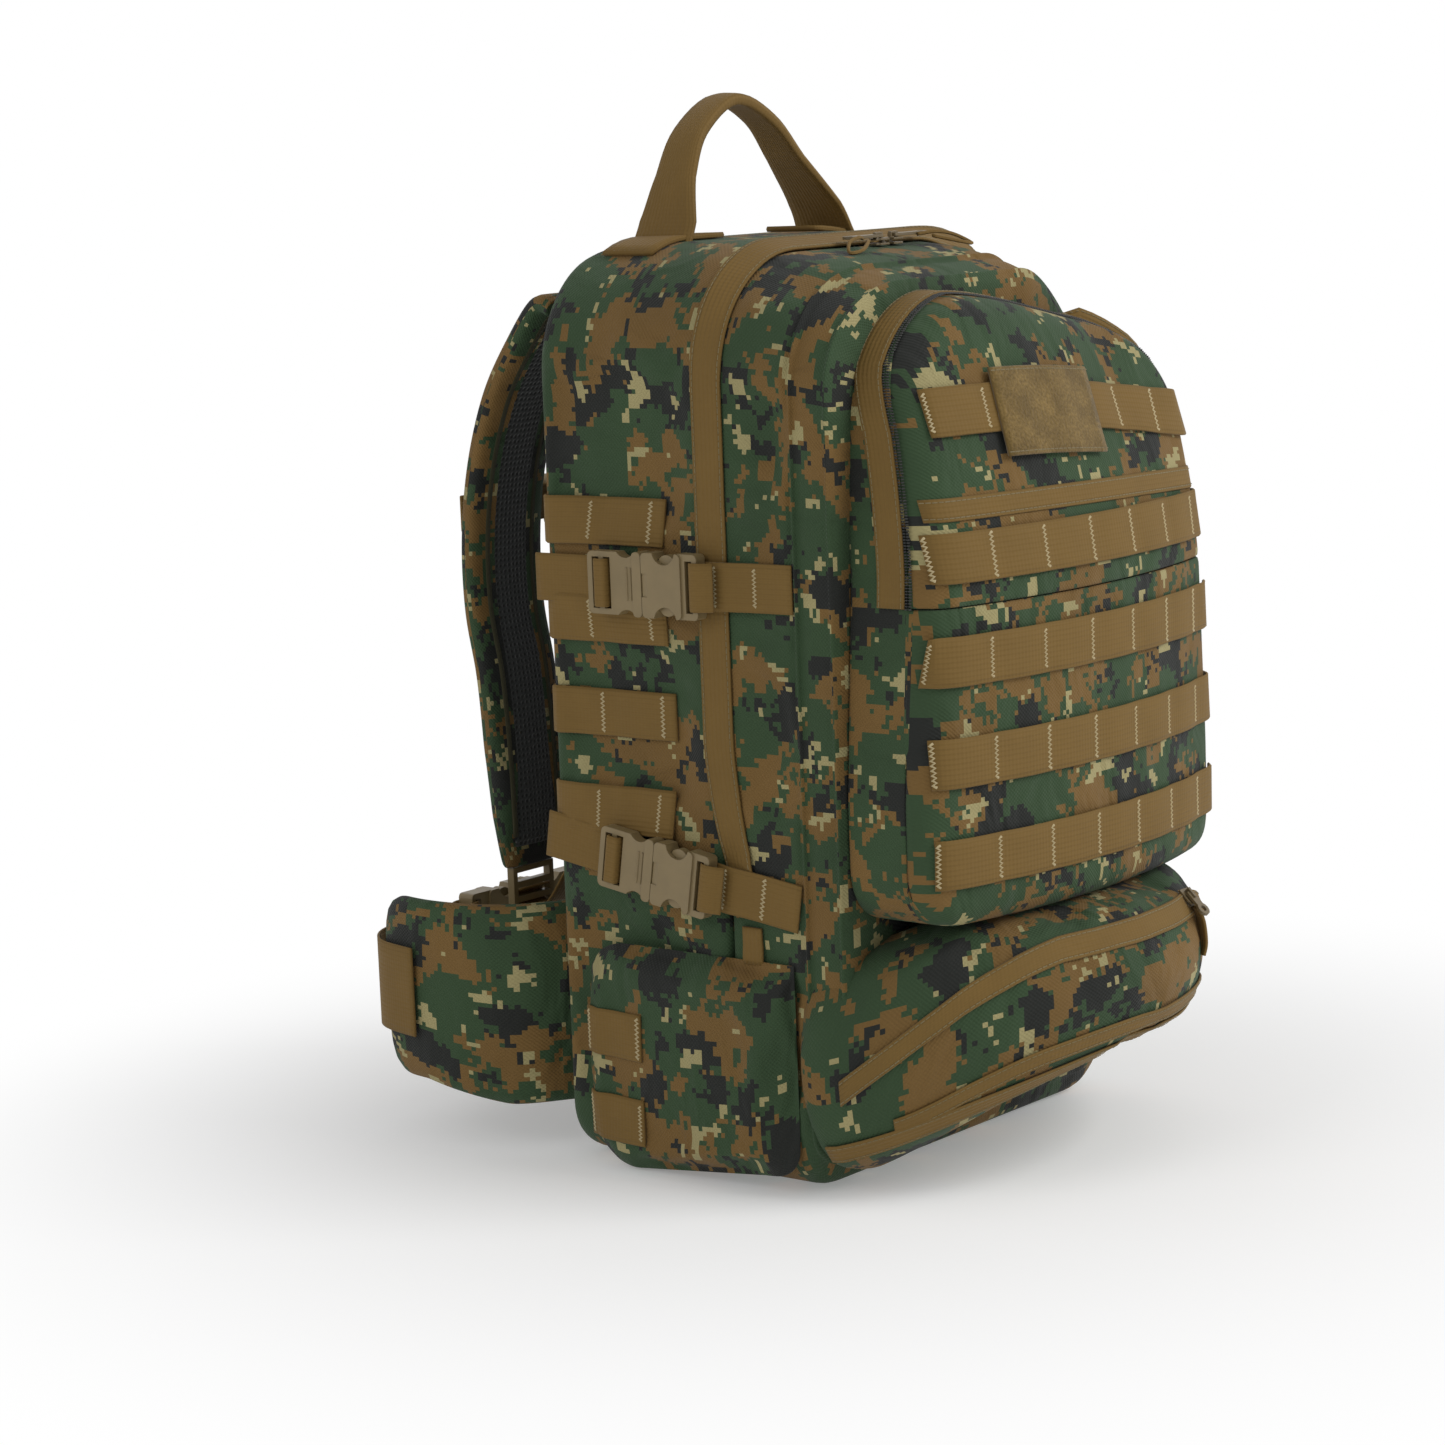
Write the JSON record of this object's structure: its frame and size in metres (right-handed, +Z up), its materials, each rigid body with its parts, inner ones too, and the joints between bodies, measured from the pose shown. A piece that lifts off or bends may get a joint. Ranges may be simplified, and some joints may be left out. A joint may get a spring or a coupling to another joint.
{
  "type": "hunting backpack",
  "caption": "Camouflage three-day backpack with webbing rows, fold-down front pocket, compression straps, padded shoulder straps and a closed hip belt.",
  "frame": {"origin": "under the middle of the whole pack, on the surface it stands on", "axes": "+Z up, front pocket faces -Y, wearer's side +Y, symmetric left to right about X"},
  "size_m": [0.3321, 0.4412, 0.5629],
  "materials": {
    "camo_cloth": "woven, coated camouflage cloth",
    "padding": "padded spacer mesh and camouflage cloth",
    "webbing": "woven nylon webbing",
    "buckle": "moulded acetal",
    "zip": "painted die-cast slider",
    "sheet": "extruded polyethylene sheet"
  },
  "bodies": {
    "pack": {"main_bag": "camo_cloth", "mid_bag": "camo_cloth", "front_bag": "camo_cloth", "lower_pocket": "camo_cloth", "lower_wing_left": "camo_cloth", "lower_wing_right": "camo_cloth", "belt_wing_left": "camo_cloth", "belt_wing_right": "camo_cloth", "back_panel": "padding", "lumbar_pad": "padding", "side_webbing": "webbing", "wing_webbing": "webbing", "front_webbing": "webbing", "main_zip_flap": "webbing", "front_zip_flap": "webbing", "lower_zip_flap": "webbing", "upper_left_webbing": "webbing", "upper_right_webbing": "webbing", "lower_left_webbing": "webbing", "lower_right_webbing": "webbing", "strap_anchors": "webbing", "handle_feet": "webbing", "strap_tail_left": "webbing", "strap_tail_right": "webbing", "belt_webbing_left": "webbing", "belt_webbing_right": "webbing", "upper_left_socket": "buckle", "upper_right_socket": "buckle", "lower_left_socket": "buckle", "lower_right_socket": "buckle", "belt_socket": "buckle", "frame_sheet": "sheet"},
    "front_flap": {"front_flap": "camo_cloth", "flap_webbing": "webbing", "loop_panel": "webbing"},
    "grab_handle": {"grab_handle": "webbing"},
    "harness": {"shoulder_strap_left": "padding", "shoulder_strap_right": "padding", "ladder_lock_left": "buckle", "ladder_lock_right": "buckle", "chest_webbing_left": "webbing", "chest_webbing_right": "webbing", "chest_socket": "buckle"},
    "chest_plug": {"chest_plug": "buckle", "chest_arms": "buckle"},
    "belt_plug": {"belt_plug": "buckle", "belt_arms": "buckle"},
    "upper_left_plug": {"upper_left_plug": "buckle", "upper_left_arms": "buckle"},
    "upper_right_plug": {"upper_right_plug": "buckle", "upper_right_arms": "buckle"},
    "lower_left_plug": {"lower_left_plug": "buckle", "lower_left_arms": "buckle"},
    "lower_right_plug": {"lower_right_plug": "buckle", "lower_right_arms": "buckle"},
    "main_slider_left": {"main_slider_left": "zip"},
    "main_slider_right": {"main_slider_right": "zip"},
    "front_slider": {"front_slider": "zip"},
    "lower_slider": {"lower_slider": "zip"}
  },
  "joints": [
    {"name": "front_flap_fold", "type": "hinge", "parent": "pack", "child": "front_flap", "pos_m": [0, -0.1476, 0.308], "axis": [1, 0, 0], "range_deg": [0, 120]},
    {"name": "handle_fold", "type": "hinge", "parent": "pack", "child": "grab_handle", "pos_m": [0, 0.082, 0.4986], "axis": [1, 0, 0], "range_deg": [-60, 60]},
    {"name": "harness_swing", "type": "hinge", "parent": "pack", "child": "harness", "pos_m": [0, 0.1263, 0.455], "axis": [1, 0, 0], "range_deg": [-6, 10], "deforming": ["strap_tail_left", "strap_tail_right"]},
    {"name": "upper_left_release", "type": "slide", "parent": "pack", "child": "upper_left_plug", "axis": [0, 1, 0], "range_m": [0, 0.024], "deforming": ["upper_left_webbing", "upper_left_arms"]},
    {"name": "upper_right_release", "type": "slide", "parent": "pack", "child": "upper_right_plug", "axis": [0, 1, 0], "range_m": [0, 0.024], "deforming": ["upper_right_webbing", "upper_right_arms"]},
    {"name": "lower_left_release", "type": "slide", "parent": "pack", "child": "lower_left_plug", "axis": [0, 0.9877, 0.1564], "range_m": [0, 0.024], "deforming": ["lower_left_webbing", "lower_left_arms"]},
    {"name": "lower_right_release", "type": "slide", "parent": "pack", "child": "lower_right_plug", "axis": [0, 0.9877, 0.1564], "range_m": [0, 0.024], "deforming": ["lower_right_webbing", "lower_right_arms"]},
    {"name": "chest_release", "type": "slide", "parent": "harness", "child": "chest_plug", "axis": [1, 0, 0], "range_m": [0, 0.021], "deforming": ["chest_webbing_right", "chest_arms"]},
    {"name": "belt_release", "type": "slide", "parent": "pack", "child": "belt_plug", "axis": [1, 0, 0], "range_m": [0, 0.034], "deforming": ["belt_webbing_right", "belt_arms"]},
    {"name": "main_slider_left_run", "type": "slide", "parent": "pack", "child": "main_slider_left", "axis": [-1, 0, 0], "range_m": [0, 0.06]},
    {"name": "main_slider_right_run", "type": "slide", "parent": "pack", "child": "main_slider_right", "axis": [1, 0, 0], "range_m": [0, 0.06]},
    {"name": "front_slider_run", "type": "slide", "parent": "pack", "child": "front_slider", "axis": [-0.0755, 0, 0.9971], "range_m": [0, 0.05]},
    {"name": "lower_slider_run", "type": "slide", "parent": "pack", "child": "lower_slider", "axis": [-1, 0, 0], "range_m": [0, 0.05]}
  ]
}
